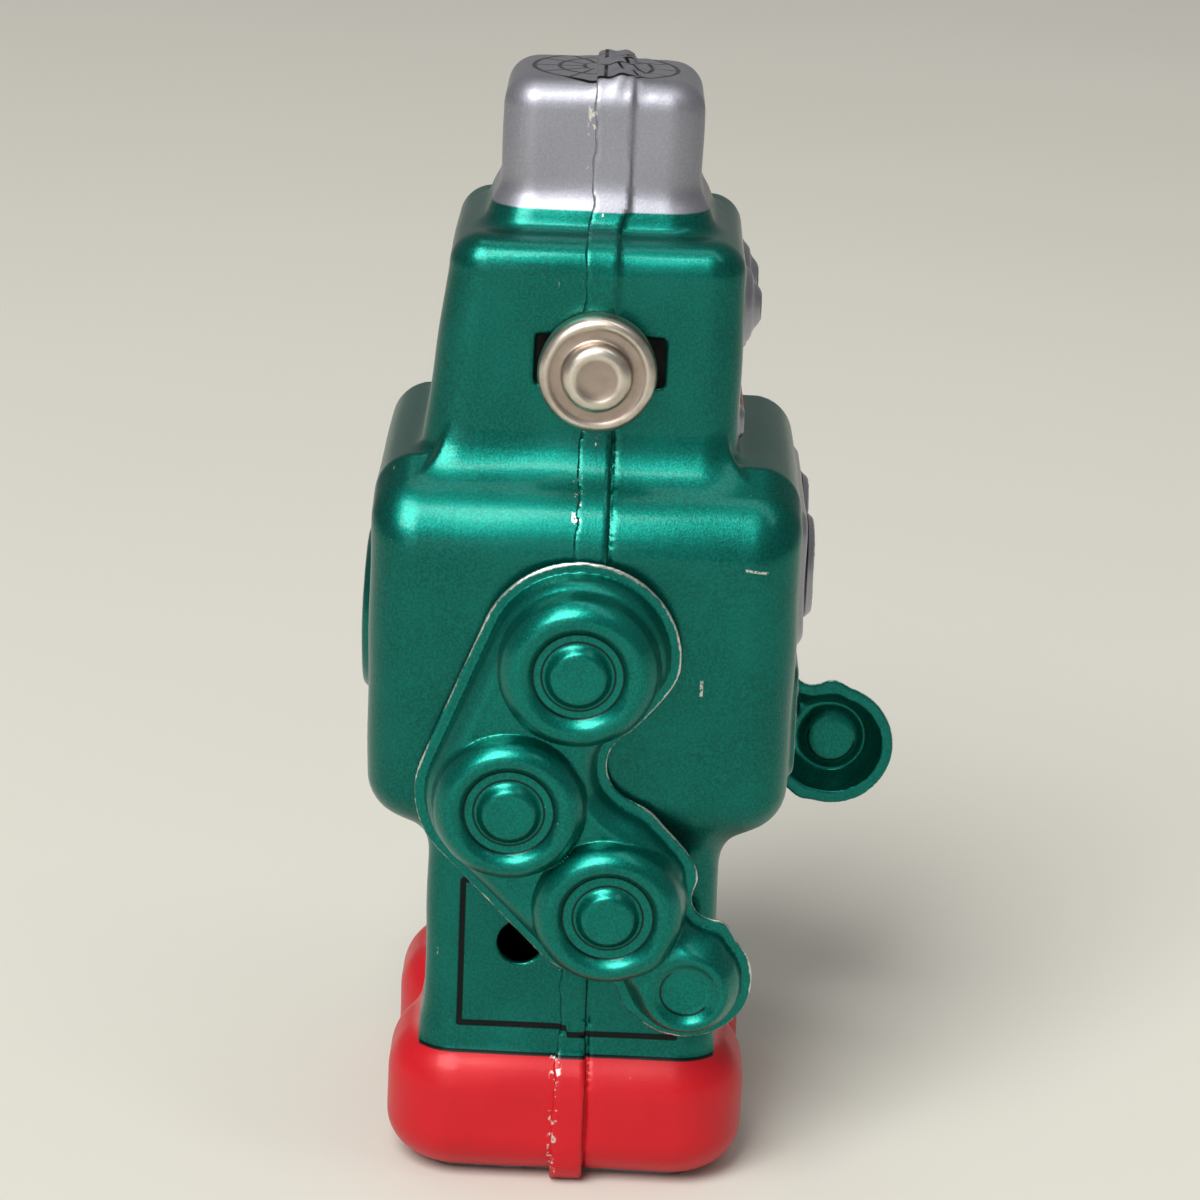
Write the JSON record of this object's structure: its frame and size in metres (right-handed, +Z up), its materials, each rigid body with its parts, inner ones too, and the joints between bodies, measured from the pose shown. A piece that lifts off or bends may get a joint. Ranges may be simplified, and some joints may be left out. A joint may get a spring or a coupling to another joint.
{
  "type": "toy robot",
  "caption": "Clockwork walking robot of pressed printed tin, with swinging arms, ear knobs, a winding key and a spring motor that drives pushers through its feet.",
  "frame": {"origin": "on the table, midway between the two feet in both directions", "axes": "+Z up, the robot faces -Y, its right side is -X"},
  "size_m": [0.0685, 0.0565, 0.1147],
  "materials": {
    "printed_tin": "glossy metallic lacquer, printed",
    "nickel": "satin nickel plate",
    "steel": "drawn steel",
    "spring_steel": "blued steel",
    "brass": "cut brass",
    "bare_tin": "bare tinplate",
    "rubber": "moulded"
  },
  "bodies": {
    "body": {"front_shell": "printed_tin", "rear_shell": "printed_tin", "right_sole_plate": "bare_tin", "left_sole_plate": "bare_tin", "right_ear_knob": "nickel", "left_ear_knob": "nickel", "right_ear_clip": "bare_tin", "left_ear_clip": "bare_tin", "right_shoulder_bush": "brass", "left_shoulder_bush": "brass", "motor_plate_inner": "bare_tin", "motor_plate_outer": "bare_tin", "motor_pillars": "steel", "crank_bearing_bracket": "bare_tin", "mainspring": "spring_steel"},
    "right_arm_body": {"right_arm": "printed_tin", "right_shoulder_shaft": "steel", "right_arm_lever": "steel", "right_shaft_washer": "steel"},
    "left_arm_body": {"left_arm": "printed_tin", "left_shoulder_shaft": "steel", "left_arm_lever": "steel", "left_shaft_washer": "steel"},
    "key_body": {"winding_arbor": "steel", "winding_key": "nickel", "ratchet_wheel": "steel"},
    "great_wheel_body": {"great_wheel": "brass", "ratchet_click": "steel"},
    "idler_body": {"idler_shaft": "steel", "idler_pinion": "brass", "idler_wheel": "brass"},
    "crank_body": {"crankshaft": "steel", "crank_pinion": "brass", "crank_wheel": "brass", "right_crank_disc": "steel", "right_crank_pin": "steel", "left_crank_disc": "steel", "left_crank_pin": "steel"},
    "escape_body": {"escape_shaft": "steel", "escape_pinion": "brass", "escape_wheel": "brass"},
    "pallet_body": {"pallet": "steel", "pallet_staff": "steel"},
    "right_rod_body": {"right_walking_rod": "steel", "right_pusher": "rubber"},
    "left_rod_body": {"left_walking_rod": "steel", "left_pusher": "rubber"}
  },
  "joints": [
    {"name": "right_arm_swing", "type": "hinge", "parent": "body", "child": "right_arm_body", "pos_m": [-0.0226, 0.0002, 0.0592], "axis": [-0.9976, 0, -0.0698], "range_deg": [-2, 22]},
    {"name": "left_arm_swing", "type": "hinge", "parent": "body", "child": "left_arm_body", "pos_m": [0.0226, 0.0002, 0.0592], "axis": [-0.9976, 0, 0.0698], "range_deg": [-22, 2]},
    {"name": "key_turn", "type": "hinge", "parent": "body", "child": "key_body", "pos_m": [0.012, 0.0052, 0.0264], "axis": [1, 0, 0], "continuous": true},
    {"name": "crank_turn", "type": "hinge", "parent": "body", "child": "crank_body", "pos_m": [0.003, -0.00222, 0.04494], "axis": [1, 0, 0], "continuous": true},
    {"name": "great_wheel_turn", "type": "hinge", "parent": "body", "child": "great_wheel_body", "pos_m": [0.01, 0.0052, 0.0264], "axis": [1, 0, 0], "continuous": true},
    {"name": "idler_turn", "type": "hinge", "parent": "body", "child": "idler_body", "pos_m": [0.008, 0.00025, 0.03572], "axis": [1, 0, 0], "continuous": true},
    {"name": "escape_turn", "type": "hinge", "parent": "body", "child": "escape_body", "pos_m": [0.008, -0.00074, 0.05336], "axis": [1, 0, 0], "continuous": true},
    {"name": "right_rod_turn", "type": "hinge", "parent": "crank_body", "child": "right_rod_body", "pos_m": [-0.0106, -0.00442, 0.04494], "axis": [1, 0, 0], "continuous": true},
    {"name": "left_rod_turn", "type": "hinge", "parent": "crank_body", "child": "left_rod_body", "pos_m": [0.015, -0.00002, 0.04494], "axis": [1, 0, 0], "continuous": true},
    {"name": "pallet_rock", "type": "hinge", "parent": "body", "child": "pallet_body", "pos_m": [0.008, -0.00074, 0.06016], "axis": [1, 0, 0], "range_deg": [-4, 4]}
  ],
  "couplings": [
    {"joint": "left_arm_swing", "follows": "right_arm_swing", "ratio": -1},
    {"joint": "idler_turn", "follows": "crank_turn", "ratio": -0.35714},
    {"joint": "great_wheel_turn", "follows": "crank_turn", "ratio": 0.11161},
    {"joint": "escape_turn", "follows": "crank_turn", "ratio": -2.4},
    {"joint": "right_rod_turn", "follows": "crank_turn", "ratio": -1},
    {"joint": "left_rod_turn", "follows": "crank_turn", "ratio": -1}
  ]
}
